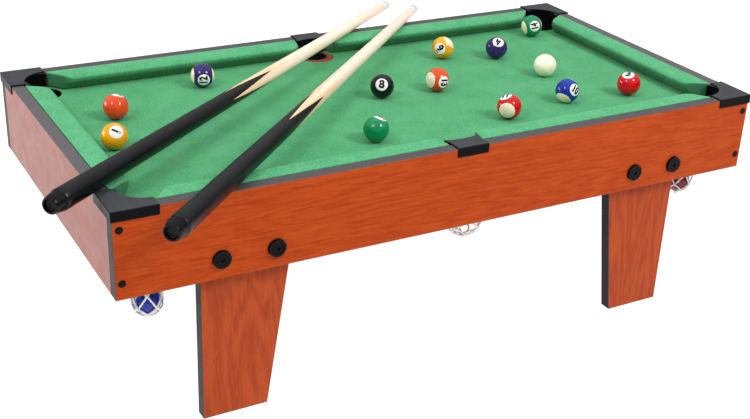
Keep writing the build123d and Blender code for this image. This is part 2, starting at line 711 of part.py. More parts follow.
def cue(prefix, butt_end):
    """One-piece stick with a rubber bumper, a ferrule and a tip, each face to face."""
    ferrule_at = CUE_LENGTH - FERRULE_LENGTH - TIP_LENGTH
    tip_at = CUE_LENGTH - TIP_LENGTH
    spans = {
        "stick": (BUMPER_LENGTH, ferrule_at),
        "ferrule": (ferrule_at, tip_at),
    }
    stick_end = Axis(butt_end.origin, butt_end.z_dir)
    for part_name, (start, stop) in spans.items():
        with BuildPart() as taper:
            for distance in (start, stop):
                with BuildSketch(butt_end.offset(distance)):
                    Circle(cue_radius(distance))
            loft()
            if part_name == "stick":
                chamfer(taper.faces().sort_by(stick_end)[0].edges(), BUTT_EDGE)
        save(taper, f"{prefix}_{part_name}")
    with BuildPart() as tip:
        for distance in (tip_at, CUE_LENGTH):
            with BuildSketch(butt_end.offset(distance)):
                Circle(cue_radius(distance))
        loft()
        fillet(tip.faces().sort_by(stick_end)[-1].edges(), TIP_ROUND)
    save(tip, f"{prefix}_tip")
    with BuildPart() as bumper:
        for distance, radius in ((0, BUMPER_END_RADIUS), (BUMPER_LENGTH, BUMPER_JOINT_RADIUS)):
            with BuildSketch(butt_end.offset(distance)):
                Circle(radius)
        loft()
        fillet(bumper.faces().sort_by(stick_end)[0].edges(), BUMPER_ROUND)
        with BuildSketch(butt_end):
            Circle(BUMPER_RECESS_RADIUS)
        extrude(amount=BUMPER_RECESS_DEPTH, mode=Mode.SUBTRACT)
    save(bumper, f"{prefix}_bumper")


def cues():
    """One cue rests on the front left cap where it crosses the left edge, the other on the front
    cushion."""
    near_one = -CUE_ONE_BUTT[0] / sin(radians(CUE_ONE_TURN))
    cue("cue_1", cue_plane(CUE_ONE_BUTT, CUE_ONE_TURN, near_one, RIM + CAP_PLATE))
    near_two = -CUE_TWO_BUTT[1] / cos(radians(CUE_TWO_TURN))
    cue("cue_2", cue_plane(CUE_TWO_BUTT, CUE_TWO_TURN, near_two, RIM + CUSHION_CROWN))


os.makedirs("parts", exist_ok=True)
apron("front_apron", -1)
apron("back_apron", 1)
end_board("left_end_board", -1)
end_board("right_end_board", 1)
for corner_name in CORNERS:
    leg(corner_name)
    corner_cap(corner_name)
middle_cap("middle_cap_front", -1)
middle_cap("middle_cap_back", 1)
leg_bolts()
leg_bolt_washers()
leg_nuts()
corner_screws()
bed_board()
bed_cloth()
bed_cleats()
cleat_screws()
cushions()
nets()
balls()
cues()
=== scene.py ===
"""Looks of the tabletop pool table: printed cherry boards, napped felt, crowned cushions, moulded
pocket caps, knotted cord nets, numbered balls and lacquered cues. Places are in millimetres from
the middle of the table, and go through at() into the row frame in metres."""

from math import acos, cos, degrees, hypot, pi, radians, sin, sqrt, tan

import bmesh
import bpy
from mathutils import Matrix, Vector, noise


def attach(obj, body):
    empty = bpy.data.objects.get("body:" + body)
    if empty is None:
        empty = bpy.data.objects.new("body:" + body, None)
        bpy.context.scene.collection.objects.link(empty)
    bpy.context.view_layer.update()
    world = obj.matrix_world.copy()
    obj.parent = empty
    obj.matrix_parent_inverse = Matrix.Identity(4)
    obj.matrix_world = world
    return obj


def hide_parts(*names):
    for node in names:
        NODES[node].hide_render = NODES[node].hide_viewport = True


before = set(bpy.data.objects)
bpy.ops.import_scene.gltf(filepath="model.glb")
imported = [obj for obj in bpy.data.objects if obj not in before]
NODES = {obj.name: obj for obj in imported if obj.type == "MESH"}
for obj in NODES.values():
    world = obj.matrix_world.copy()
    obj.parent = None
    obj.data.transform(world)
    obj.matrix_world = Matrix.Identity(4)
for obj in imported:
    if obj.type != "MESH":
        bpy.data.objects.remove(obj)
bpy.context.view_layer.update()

# -------------------- sizes, the same as the CAD part's
MM = 0.001
TABLE_X, TABLE_Y = 24.888, 9.68
HALF_LENGTH, HALF_WIDTH = 350.0, 183.0
RIM = 234.0
PLAY = 218.0
CLOTH = 1.0
BED_EDGE = 12.8
CORNERS = {"front_left": (-1, -1), "front_right": (1, -1), "back_left": (-1, 1), "back_right": (1, 1)}
BALL_RADIUS = 12.7
LIFT_GAP = 0.3

# -------------------- camera
CAMERA_PLACE = (-0.58043, -1.04817, 0.6752)
CAMERA_TURN = (64.251, -2.218, -28.760)
CAMERA_LENS = 58.71
SENSOR = 36.0


def at(x, y, z):
    """Point in the row frame, in metres, from millimetres about the table's middle."""
    return Vector(((TABLE_X + x) * MM, (TABLE_Y + y) * MM, z * MM))


# -------------------- materials
class Shade:
    """A material under construction. Its methods add one node each and return its output."""

    def __init__(self, name, **sockets):
        self.material = bpy.data.materials.new(name)
        self.material.use_nodes = True
        self.tree = self.material.node_tree
        self.shader = self.tree.nodes["Principled BSDF"]
        for key, value in sockets.items():
            self.shader.inputs[key.replace("_", " ")].default_value = value

    def add(self, kind, inputs=(), output=0, **settings):
        node = self.tree.nodes.new(kind)
        for key, value in settings.items():
            setattr(node, key, value)
        for key, value in dict(inputs).items():
            if isinstance(value, bpy.types.NodeSocket):
                self.tree.links.new(value, node.inputs[key])
            else:
                node.inputs[key].default_value = value
        return node.outputs[output]

    def place(self):
        return self.add("ShaderNodeTexCoord", output="Object")

    def normal(self):
        return self.add("ShaderNodeTexCoord", output="Normal")

    def split(self, vector):
        node = self.tree.nodes.new("ShaderNodeSeparateXYZ")
        self.tree.links.new(vector, node.inputs[0])
        return node.outputs

    def scaled(self, vector, scale, turn=(0, 0, 0), move=(0, 0, 0)):
        inputs = {"Vector": vector, "Scale": scale, "Rotation": turn, "Location": move}
        return self.add("ShaderNodeMapping", inputs)

    def noise(self, vector, scale, detail=3.0, rough=0.5, distort=0.0):
        inputs = {"Vector": vector, "Scale": scale, "Detail": detail, "Roughness": rough}
        inputs["Distortion"] = distort
        return self.add("ShaderNodeTexNoise", inputs)

    def math(self, operation, a, b=0.0):
        return self.add("ShaderNodeMath", {0: a, 1: b}, operation=operation)

    def total(self, *parts):
        """Sum of (value, share) pairs, each value times its share."""
        values = [self.math("MULTIPLY", value, share) for value, share in parts]
        added = values[0]
        for value in values[1:]:
            added = self.math("ADD", added, value)
        return added

    def range(self, value, low, high, start=0.0, stop=1.0):
        """Smooth step from start to stop as the value goes from low to high."""
        inputs = {"Value": value, "From Min": low, "From Max": high, "To Min": start, "To Max": stop}
        return self.add("ShaderNodeMapRange", inputs, interpolation_type="SMOOTHSTEP")

    def ramp(self, value, *stops):
        """Colour ramp. Each stop is (position, (red, green, blue))."""
        node = self.tree.nodes.new("ShaderNodeValToRGB")
        elements = node.color_ramp.elements
        while len(elements) < len(stops):
            elements.new(0.5)
        for element, (position, colour) in zip(elements, stops):
            element.position = position
            element.color = (*colour, 1)
        self.tree.links.new(value, node.inputs[0])
        return node.outputs[0]

    def mix(self, factor, a, b):
        node = self.tree.nodes.new("ShaderNodeMix")
        node.data_type = "RGBA"
        for socket, value in zip((node.inputs[0], node.inputs[6], node.inputs[7]), (factor, a, b)):
            if isinstance(value, bpy.types.NodeSocket):
                self.tree.links.new(value, socket)
            else:
                socket.default_value = value if isinstance(value, float) else (*value, 1)
        return node.outputs[2]

    def to(self, socket, value):
        self.tree.links.new(value, self.shader.inputs[socket])

    def bump(self, height, distance, strength):
        inputs = {"Height": height, "Distance": distance, "Strength": strength}
        self.to("Normal", self.add("ShaderNodeBump", inputs))


def dimmed(colour, share, haze=0.0):
    """A colour times a share, greyed by adding haze."""
    return tuple(share * value + haze for value in colour)


CHERRY_STOPS = (0.30, 0.46, 0.60, 0.80)
CHERRY_COLOURS = (
    (0.270, 0.026, 0.0018), (0.370, 0.042, 0.0030), (0.430, 0.056, 0.0045), (0.500, 0.076, 0.0080),
)
CHERRY_PORE = (0.20, 0.018, 0.002)
EDGE_DARK, EDGE_LIGHT = (0.012, 0.010, 0.013), (0.026, 0.022, 0.029)
LIT_EDGE_DARK, LIT_EDGE_LIGHT = (0.070, 0.064, 0.071), (0.110, 0.102, 0.112)    # painted light: the paler tones of edges that look up
CHAMFER_LINE = (0.20, 0.13, 0.11)
GRAIN_STRETCH = 0.085                # noise scale along the grain, as a share of that across it
GRAIN_RINGS = 80.0
SEED_STEP = (1.7, 0.9, 1.3)          # how far the print moves from one board to the next


def cherry(name, along, edge_axes, seed, depth=1.0, gloss=0.07, haze=0.0, figure_depth=0.09):
    """Printed cherry laminate with its grain along one axis. Faces across edge_axes are the board's
    painted edges, and the chamfers between show as a fine pale line. The edges that look up are
    painted paler, as painted light from above. depth and haze darken and grey the print, and
    figure_depth is how far its rings stand out."""
    shade = Shade(name, Specular_IOR_Level=gloss, Coat_Weight=gloss * 0.4, Coat_Roughness=0.3)
    stretch = [1.0, 1.0, 1.0]
    stretch["xyz".index(along)] = GRAIN_STRETCH
    grain = shade.scaled(shade.place(), stretch, move=[seed * step for step in SEED_STEP])
    figure = shade.noise(grain, 26.0, detail=2.0, rough=0.45, distort=0.6)
    rings = shade.math("SINE", shade.math("MULTIPLY", figure, GRAIN_RINGS))
    bands = shade.range(rings, -1.0, 1.0)
    fine = shade.noise(grain, 620.0, detail=4.0, rough=0.65)
    pores = shade.range(shade.noise(grain, 1500.0, detail=2.0), 0.56, 0.72)
    broad = shade.noise(grain, 7.0, detail=1.0)
    tone = shade.total((bands, figure_depth), (fine, 0.78), (broad, 0.18))
    colours = [dimmed(colour, depth, haze) for colour in CHERRY_COLOURS]
    wood = shade.ramp(tone, *zip(CHERRY_STOPS, colours))
    wood = shade.mix(shade.math("MULTIPLY", pores, 0.3), wood, dimmed(CHERRY_PORE, depth))
    face = shade.split(shade.normal())
    across = shade.math("ABSOLUTE", face["XYZ".index(edge_axes[0])])
    for axis in edge_axes[1:]:
        across = shade.math("MAXIMUM", across, shade.math("ABSOLUTE", face["XYZ".index(axis)]))
    dust = shade.noise(shade.place(), 700.0, detail=3.0)
    edge = shade.ramp(dust, (0.3, EDGE_DARK), (0.7, EDGE_LIGHT))
    lit_top_edge = shade.ramp(dust, (0.3, LIT_EDGE_DARK), (0.7, LIT_EDGE_LIGHT))
    # Painted light: edges that look up are painted paler, as if they catch the light from above.
    edge = shade.mix(shade.range(face["Z"], 0.6, 0.95), edge, lit_top_edge)
    line = shade.mix(0.5, edge, CHAMFER_LINE)
    colour = shade.mix(shade.range(across, 0.25, 0.35), wood, line)
    colour = shade.mix(shade.range(across, 0.80, 0.88), colour, edge)
    shade.to("Base Color", colour)
    worn = shade.noise(shade.place(), 55.0, detail=3.0)
    shade.to("Roughness", shade.range(worn, 0.2, 0.8, 0.34, 0.46))
    shade.bump(shade.total((fine, 0.6), (pores, -0.5)), 0.00006, 0.6)
    return shade.material


# deep, middle and light tones of each cloth
BED_FELT = ((0.022, 0.195, 0.072), (0.075, 0.350, 0.148), (0.150, 0.480, 0.228))
CUSHION_FELT = ((0.025, 0.225, 0.085), (0.090, 0.400, 0.180), (0.180, 0.560, 0.290))
FELT_STOPS = (0.34, 0.50, 0.66)
FELT_SHEEN_TINT = (0.55, 0.95, 0.68, 1)


def felt(name, colours, sheen, nose=1.0):
    """Napped cloth: a mottled colour, short fibres that lie at random, and a soft sheen. nose is the
    share of brightness kept where the cloth turns from the top to the nose: painted shade."""
    shade = Shade(name, Roughness=0.95, Specular_IOR_Level=0.15, Sheen_Weight=sheen, Sheen_Roughness=0.45)
    shade.shader.inputs["Sheen Tint"].default_value = FELT_SHEEN_TINT
    place = shade.place()
    cloud = shade.noise(place, 38.0, detail=4.0, rough=0.6)
    tuft = shade.noise(place, 620.0, detail=3.0, rough=0.7)
    drift = shade.add("ShaderNodeTexNoise", {"Vector": place, "Scale": 240.0}, output=1)
    drift = shade.scaled(drift, (0.004, 0.004, 0.004))
    warped = shade.add("ShaderNodeVectorMath", {0: place, 1: drift}, operation="ADD")
    fibre = shade.noise(shade.scaled(warped, (1.0, 3.2, 1.0), turn=(0, 0, 0.6)), 900.0, detail=2.0)
    nap = shade.total((tuft, 0.55), (fibre, 0.45))
    tone = shade.total((nap, 0.82), (cloud, 0.18))
    colour = shade.ramp(tone, *zip(FELT_STOPS, colours))
    # Painted shade: where the cloth faces less upward its tones are dimmed to nose's share.
    if nose < 1.0:
        shaded_tones = shade.ramp(tone, *zip(FELT_STOPS, [dimmed(tint, nose) for tint in colours]))
        facing_up = shade.range(shade.split(shade.normal())["Z"], 0.25, 0.80)
        colour = shade.mix(facing_up, shaded_tones, colour)
    shade.to("Base Color", colour)
    shade.bump(nap, 0.00035, 0.55)
    return shade.material


def moulded(name, colour, rough, grain=1400.0, depth=0.00005, gloss=0.5, top=None):
    """Satin moulded plastic or rubber with a fine spark-eroded grain. Where top is given, the faces that
    look up are painted in that paler colour: painted light from above, mottled at random."""
    shade = Shade(name, Roughness=rough, Specular_IOR_Level=gloss)
    place = shade.place()
    spark = shade.noise(place, grain, detail=3.0, rough=0.6)
    smear = shade.noise(place, 70.0, detail=3.0)
    pale = dimmed(colour, 1.5, 0.001)
    body = shade.mix(shade.range(smear, 0.3, 0.8, 0.0, 0.6), colour, pale)
    if top:
        # Painted light: faces that look up get the paler top colour.
        painted_lit_top = shade.mix(shade.range(smear, 0.3, 0.7), dimmed(top, 0.8), top)
        body = shade.mix(shade.range(shade.split(shade.normal())["Z"], 0.6, 0.95), body, painted_lit_top)
    shade.to("Base Color", body)
    shade.to("Roughness", shade.range(smear, 0.25, 0.75, rough - 0.06, rough + 0.08))
    shade.bump(spark, depth, 0.5)
    return shade.material


def metal(name, colour, rough, metallic):
    shade = Shade(name, Metallic=metallic, Roughness=rough)
    place = shade.place()
    brushed = shade.noise(shade.scaled(place, (1.0, 1.0, 12.0)), 500.0, detail=2.0)
    shade.to("Base Color", shade.mix(shade.range(brushed, 0.3, 0.7), dimmed(colour, 0.7), colour))
    shade.to("Roughness", shade.range(brushed, 0.2, 0.8, rough - 0.08, rough + 0.12))
    shade.bump(brushed, 0.00004, 0.4)
    return shade.material


def fibreboard(name):
    """Bare reddish-brown board, its chips showing."""
    shade = Shade(name, Roughness=0.85, Specular_IOR_Level=0.2)
    place = shade.place()
    chips = shade.noise(place, 500.0, detail=4.0, rough=0.7)
    shade.to("Base Color", shade.ramp(chips, (0.3, (0.20, 0.035, 0.018)), (0.7, (0.38, 0.085, 0.040))))
    shade.bump(chips, 0.0002, 0.6)
    return shade.material


def cotton(name):
    shade = Shade(name, Roughness=0.85, Specular_IOR_Level=0.2, Sheen_Weight=0.3)
    place = shade.place()
    soil = shade.noise(place, 160.0, detail=3.0)
    twist = shade.noise(place, 2200.0, detail=2.0)
    tone = shade.total((soil, 0.5), (twist, 0.5))
    stops = ((0.3, (0.62, 0.59, 0.55)), (0.5, (0.84, 0.82, 0.79)), (0.7, (0.92, 0.91, 0.89)))
    shade.to("Base Color", shade.ramp(tone, *stops))
    shade.bump(twist, 0.0001, 0.5)
    return shade.material


def paint(node, material):
    NODES[node].data.materials.clear()
    NODES[node].data.materials.append(material)


# -------------------- mesh helpers
def mesh_of(name, points, faces):
    mesh = bpy.data.meshes.new(name)
    mesh.from_pydata([tuple(p) for p in points], [], faces)
    return mesh


def placed(name, data):
    """New object that is part of the scene."""
    made = bpy.data.objects.new(name, data)
    bpy.context.scene.collection.objects.link(made)
    return made


def piece(name, points, faces, material, body, stands_for):
    """New mesh object that rides on a CAD body and is shown in place of one of its nodes. points
    are in the row frame, in metres."""
    mesh = mesh_of(name, points, faces)
    mesh.validate()
    mesh.materials.append(material)
    mesh.shade_smooth()
    made = placed(name, mesh)
    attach(made, body)
    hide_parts(stands_for)
    return made


def loops(rings, close_ends=True):
    """Faces of a tube through rings of equal length, numbered ring after ring."""
    size = len(rings[0])
    faces = []
    for i in range(len(rings) - 1):
        for j in range(size):
            a, b = i * size + j, i * size + (j + 1) % size
            faces.append((a, b, b + size, a + size))
    if close_ends:
        faces.append(tuple(range(size - 1, -1, -1)))
        faces.append(tuple(range((len(rings) - 1) * size, len(rings) * size)))
    return faces


def smooth_line(points, steps):
    """Catmull-Rom line through points, open, with that many steps between neighbours."""
    padded = [points[0] * 2 - points[1], *points, points[-1] * 2 - points[-2]]
    line = []
    for i in range(1, len(padded) - 2):
        a, b, c, d = padded[i - 1:i + 3]
        for k in range(steps):
            t = k / steps
            line.append(0.5 * (2 * b + (c - a) * t + (2 * a - 5 * b + 4 * c - d) * t**2
                               + (3 * b - a - 3 * c + d) * t**3))
    line.append(points[-1])
    return line


# -------------------- bed cloth
MIDDLE_CLOTH_AT, MIDDLE_CLOTH_RADIUS = 33.2, 20.4
MIDDLE_CLOTH_HALF = 16.0             # half the width of the cut from the middle hole out to the side
MIDDLE_HOLE_AT = 28.0
CORNER_HOLE_AT = 35.0
CORNER_CLOTH_AT, CORNER_CLOTH_RADIUS = 33.8, 18.8    # the cloth's edge reaches a little over the hole
CLOTH_CELL = 5.0
CLOTH_ROLL, CLOTH_SINK = 0.06, 0.05
CUTTER_REACH = 5                     # above and below the bed


def bake(thing):
    """Turns an object's modifiers into its own mesh."""
    bpy.context.view_layer.update()
    graph = bpy.context.evaluated_depsgraph_get()
    solid = bpy.data.meshes.new_from_object(thing.evaluated_get(graph))
    old = thing.data
    thing.modifiers.clear()
    thing.data = solid
    bpy.data.meshes.remove(old)
    solid.name = thing.name


def cutter(name, outline):
    """Prism through a plan outline, to cut a hole in the cloth with."""
    ends = (PLAY - CUTTER_REACH, PLAY + CUTTER_REACH)
    rings = [[at(x, y, z) for x, y in outline] for z in ends]
    return placed(name, mesh_of(name, [p for ring in rings for p in ring], loops(rings)))


def circle(x, y, radius, start, stop, step=3):
    """Points round a circle in plan, from start to stop in degrees, the last left out."""
    return [(x + radius * cos(radians(a)), y + radius * sin(radians(a))) for a in range(start, stop, step)]


def notch(side_x, side_y):
    """Outline of a corner notch: square out to the corner, and round where it ends."""
    arc = circle(CORNER_CLOTH_AT, CORNER_CLOTH_AT, CORNER_CLOTH_RADIUS, -90, 181)
    plan = [*arc, (0, CORNER_CLOTH_AT), (0, 0), (CORNER_CLOTH_AT, 0)]
    plan = [(side_x * (HALF_LENGTH - u), side_y * (HALF_WIDTH - v)) for u, v in plan]
    return plan if side_x * side_y > 0 else plan[::-1]


def middle_notch(side_y):
    """Outline of a middle notch: straight in from the side, and round where it ends."""
    turn = degrees(acos(MIDDLE_CLOTH_HALF / MIDDLE_CLOTH_RADIUS))
    steps = 48
    plan = [(-MIDDLE_CLOTH_HALF, 0), (MIDDLE_CLOTH_HALF, 0)]
    for k in range(steps + 1):
        angle = radians(-turn + (180 + 2 * turn) * k / steps)
        plan.append((MIDDLE_CLOTH_RADIUS * cos(angle), MIDDLE_CLOTH_AT + MIDDLE_CLOTH_RADIUS * sin(angle)))
    plan = [(x, side_y * (HALF_WIDTH - v)) for x, v in plan]
    return plan if side_y < 0 else plan[::-1]


def bed_cloth(material):
    """One stretched sheet, notched at the corners and cut round at the middle pockets. It rolls by
    a few hundredths of a millimetre, as felt over board does."""
    half_x, half_y = HALF_LENGTH - BED_EDGE, HALF_WIDTH - BED_EDGE
    bed = bmesh.new()
    cols, rows = int(2 * half_x / CLOTH_CELL), int(2 * half_y / CLOTH_CELL)
    bmesh.ops.create_grid(bed, x_segments=cols, y_segments=rows, size=1.0)
    for vert in bed.verts:
        vert.co = at(vert.co.x * half_x, vert.co.y * half_y, PLAY)
    mesh = bpy.data.meshes.new("bed_felt_sheet")
    bed.to_mesh(mesh)
    bed.free()
    sheet = placed("bed_felt_sheet", mesh)
    thick = sheet.modifiers.new("thick", "SOLIDIFY")
    thick.thickness = CLOTH * MM
    thick.offset = -1
    cutters = [cutter(f"cut_{name}", notch(*sides)) for name, sides in CORNERS.items()]
    for side in (-1, 1):
        cutters.append(cutter(f"cut_middle_{side}", middle_notch(side)))
    for tool in cutters:
        cut = sheet.modifiers.new(tool.name, "BOOLEAN")
        cut.operation = "DIFFERENCE"
        cut.solver = "EXACT"
        cut.object = tool
    bake(sheet)
    for tool in cutters:
        bpy.data.objects.remove(tool)
    for vert in sheet.data.vertices:
        roll = noise.noise(vert.co * 22) + 0.4 * noise.noise(vert.co * 70)
        vert.co.z += (CLOTH_ROLL * roll - CLOTH_SINK) * MM
    sheet.data.materials.clear()
    sheet.data.materials.append(material)
    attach(sheet, "table")
    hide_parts("bed_cloth")


# -------------------- cushions
CUSHION_INNER, CUSHION_NOSE = 12.8, 36.8
CUSHION_TOP = RIM + 0.75
CUSHION_FOOT = PLAY + 0.35
SIDE_CUT_RIM, SIDE_CUT_NOSE = 41.5, 62.0
END_CUT_RIM, END_CUT_NOSE = 44.7, 60.5
MIDDLE_CUT_RIM, MIDDLE_CUT_NOSE = 17.6, 23.2
NOSE_ROUND = 8.5                     # in plan, where the nose turns into the cut end
END_ROUND = 2.6                      # where the top and sides turn into the cut end
STATION = 4.5
# the section from the back over the top to the foot: (behind the nose, below the top)
CUSHION_SECTION = (
    (23.85, 2.2), (23.75, 0.9), (22.6, 0.25), (18.0, 0.1), (12.0, 0.02), (8.0, 0.1), (5.0, 0.55),
    (2.7, 1.6), (1.0, 3.2), (0.15, 5.2), (0.25, 7.0), (1.5, 8.9), (3.4, 11.0), (5.4, 13.4), (6.8, 15.6),
)
CUSHION_FOOT_POINTS = (28.6, 25, 20, 16)    # from the outer face
CUSHION_CLEAR = 0.15                 # from the boards
CORE_DEPTH = 12                      # behind the nose, where an end closes in on itself
CORE_SHARES = (0.3, 0.65)
END_ANGLES = (0, 25, 45, 65, 90)     # degrees round the turn into a cut end


def cushion_section():
    """Closed section as (from the outer face, height) points."""
    marks = [Vector((CUSHION_NOSE - back, CUSHION_TOP - drop)) for back, drop in CUSHION_SECTION]
    line = smooth_line(marks, 3)
    back = CUSHION_INNER + CUSHION_CLEAR
    line += [Vector((v, CUSHION_FOOT)) for v in (*CUSHION_FOOT_POINTS, back + 0.6)]
    line += [Vector((back, z)) for z in (CUSHION_FOOT + 0.6, CUSHION_FOOT + 5, CUSHION_FOOT + 9)]
    return line


def end_reach(rim_end, nose_end, v):
    """How far a cushion reaches along its run at a distance v from the outer face. The corner
    between its nose and its cut end is rounded."""
    run = rim_end - nose_end
    depth = CUSHION_NOSE - CUSHION_INNER
    slant = hypot(run, depth)
    tangent = NOSE_ROUND / tan(acos(-run / slant) / 2)
    if v <= CUSHION_NOSE - tangent * depth / slant:
        return rim_end - run * (v - CUSHION_INNER) / depth
    inside = NOSE_ROUND**2 - (v - CUSHION_NOSE + NOSE_ROUND) ** 2
    return nose_end - tangent + sqrt(max(0.0, inside))


def cushion(name, middle, inward, low, high, material):
    """Felt-covered strip. middle is the point on the outer face where the run is measured from,
    inward the direction into the table, and low and high its ends, each (at the rim, at the nose)."""
    along = Vector((inward[1], -inward[0]))
    section = cushion_section()
    core = Vector((CUSHION_NOSE - CORE_DEPTH, (CUSHION_TOP + CUSHION_FOOT) / 2))
    rings = []

    def ring(reach, shift, inset, shrink):
        row = []
        for mark in section:
            out = mark - core
            mark_now = core + out * max(0.0, 1 - inset / out.length) * shrink
            row.append((reach(mark_now.x) + shift, mark_now.x, mark_now.y))
        return row

    def low_reach(v):
        return -end_reach(-low[0], -low[1], v)

    def high_reach(v):
        return end_reach(high[0], high[1], v)

    depths = [END_ROUND * (1 - cos(radians(a))) for a in END_ANGLES]
    insets = [END_ROUND * (1 - sin(radians(a))) for a in END_ANGLES]
    for shrink in CORE_SHARES:
        rings.append(ring(low_reach, 0, insets[0], shrink))
    for depth, inset in zip(depths, insets):
        rings.append(ring(low_reach, depth, inset, 1))
    start, stop = rings[-1], ring(high_reach, -depths[-1], 0, 1)
    count = int((high[1] - low[1]) / STATION)
    for k in range(1, count):
        share = k / count
        rings.append([(a[0] + (b[0] - a[0]) * share, a[1], a[2]) for a, b in zip(start, stop)])
    for depth, inset in reversed(list(zip(depths, insets))):
        rings.append(ring(high_reach, -depth, inset, 1))
    for shrink in CORE_SHARES[::-1]:
        rings.append(ring(high_reach, 0, insets[0], shrink))
    points = []
    for row in rings:
        for s, v, z in row:
            x = middle[0] + along.x * s + inward[0] * v
            y = middle[1] + along.y * s + inward[1] * v
            points.append(at(x, y, z))
    node = name.replace("_felt", "")
    made = piece(name, points, loops(rings), material, "table", node)


def cushions(material):
    side_rim, side_nose = HALF_LENGTH - SIDE_CUT_RIM, HALF_LENGTH - SIDE_CUT_NOSE
    end_rim, end_nose = HALF_WIDTH - END_CUT_RIM, HALF_WIDTH - END_CUT_NOSE
    low = ((-side_rim, -side_nose), (-MIDDLE_CUT_RIM, -MIDDLE_CUT_NOSE))
    high = ((MIDDLE_CUT_RIM, MIDDLE_CUT_NOSE), (side_rim, side_nose))
    whole = ((-end_rim, -end_nose), (end_rim, end_nose))
    front, back = (0, -HALF_WIDTH), (0, HALF_WIDTH)
    cushion("cushion_front_left_felt", front, (0, 1), *low, material)
    cushion("cushion_front_right_felt", front, (0, 1), *high, material)
    cushion("cushion_back_left_felt", back, (0, -1), *high, material)
    cushion("cushion_back_right_felt", back, (0, -1), *low, material)
    cushion("cushion_left_felt", (-HALF_LENGTH, 0), (1, 0), *whole, material)
    cushion("cushion_right_felt", (HALF_LENGTH, 0), (-1, 0), *whole, material)


# -------------------- nets
CORD_RADIUS = 0.85
CORD_SIDES = 9
CORD_LOBES, LOBE_DEPTH = 3, 0.14
CORD_TWIST = 0.9                     # radians for each millimetre
CORD_STEPS = 5                       # places along a cord from one knot to the next
NET_COLUMNS = 5                      # cords that lean one way
NET_TOP = 206.4
NET_NECK_END = 202.0
NET_INSET = 0.95                     # cord's middle to the net's outside
NECK_WAIST = 0.9                     # how far the neck draws in
CROSSING = 0.3                       # how far a cord passes over or under the one it crosses
KNOT_CORD, KNOT_CORD_SIDES, KNOT_STEPS = 0.62, 7, 18
HEM_STEPS = 72
COIL_CORD, COIL_CORD_SIDES = 0.55, 8
COIL_RADIUS, COIL_TURNS, COIL_STEPS = 1.75, 3, 20
COIL_DROP = 0.036                    # for each step
HEM_TWIST = 18.0                     # radians for each radian round the ring
CORNER_RING, MIDDLE_RING = 18.5, 13.7
BALL_POUCH = BALL_RADIUS + 2.4
# corner: the pouch's middle from the end and from the side, and its height
CORNER_POUCHES = {
    "front_left": (39.0, 37.0, 125.0), "front_right": (47.0, 38.0, 130.0),
    "back_left": (38.0, 37.0, 128.0), "back_right": (38.0, 38.0, 126.0),
}
MIDDLE_POUCH_X, MIDDLE_POUCH_AT, MIDDLE_POUCH_HEIGHT, MIDDLE_POUCH = 17.5, 34.0, 142.0, 19.5
MIDDLE_ROWS = (NET_TOP, 194, 182, 170, 158, 147, 137, 129, 124.7)
CORNER_LOOSE, MIDDLE_LOOSE = 0.10, 0.20    # radians a knot strays


def rope(points, radius=CORD_RADIUS, twist=CORD_TWIST, sides=CORD_SIDES):
    """Rings of a laid cord along points in millimetres."""
    rings = []
    normal = Vector((0, 0, 1)).cross(points[1] - points[0])
    if normal.length < 1e-6:
        normal = Vector((1, 0, 0))
    length = 0.0
    for i, point in enumerate(points):
        ahead = points[min(i + 1, len(points) - 1)] - points[max(i - 1, 0)]
        ahead.normalize()
        normal = (normal - ahead * normal.dot(ahead)).normalized()
        side = ahead.cross(normal)
        if i:
            length += (point - points[i - 1]).length
        row = []
        for k in range(sides):
            angle = 2 * pi * k / sides
            lobe = 1 + LOBE_DEPTH * cos(CORD_LOBES * angle - twist * length)
            row.append(point + (normal * cos(angle) + side * sin(angle)) * radius * lobe)
        rings.append(row)
    return rings


def add_tube(points, faces, rings, closed=False):
    """Adds a tube to a growing list of points and faces."""
    base = len(points)
    if closed:
        rings = [*rings, rings[0]]
    for row in rings:
        points += row
    faces += [[base + i for i in face] for face in loops(rings, close_ends=not closed)]


class Bag:
    """The surface a net's cords lie on: a collar in the pocket's ring, a neck, and a round pouch."""

    def __init__(self, ring, ring_radius, pouch, pouch_height, pouch_radius):
        self.ring = Vector(ring)
        self.pouch = Vector(pouch)
        self.height = pouch_height
        self.top = ring_radius - NET_INSET
        self.belly = pouch_radius - NET_INSET
        self.floor = pouch_height - self.belly

    def spot(self, height, angle):
        """Point on the bag at a height and an angle round it."""
        if height >= NET_NECK_END:
            centre, radius = self.ring, self.top
        elif height >= self.height:
            share = (NET_NECK_END - height) / (NET_NECK_END - self.height)
            centre = self.ring.lerp(self.pouch, share)
            radius = self.top + (self.belly - self.top) * share - NECK_WAIST * sin(pi * share)
        else:
            centre = self.pouch
            radius = sqrt(max(0.0, self.belly**2 - (self.height - height) ** 2))
        return Vector((centre.x + radius * cos(angle), centre.y + radius * sin(angle), height))


def knot_places(rows, loose, seed):
    """Height and angle of each knot by its row and column. loose is how far it strays."""
    knots = {}
    for j, height in enumerate(rows):
        for k in range(2 * NET_COLUMNS):
            shift = noise.noise(Vector((k * 3.1, j * 2.7, seed))) * loose
            drop = noise.noise(Vector((k * 1.9, j * 4.3, seed + 9))) * loose * 9
            knots[j, k] = (min(height + (drop if j else 0), NET_TOP), k * pi / NET_COLUMNS + shift)
    return knots


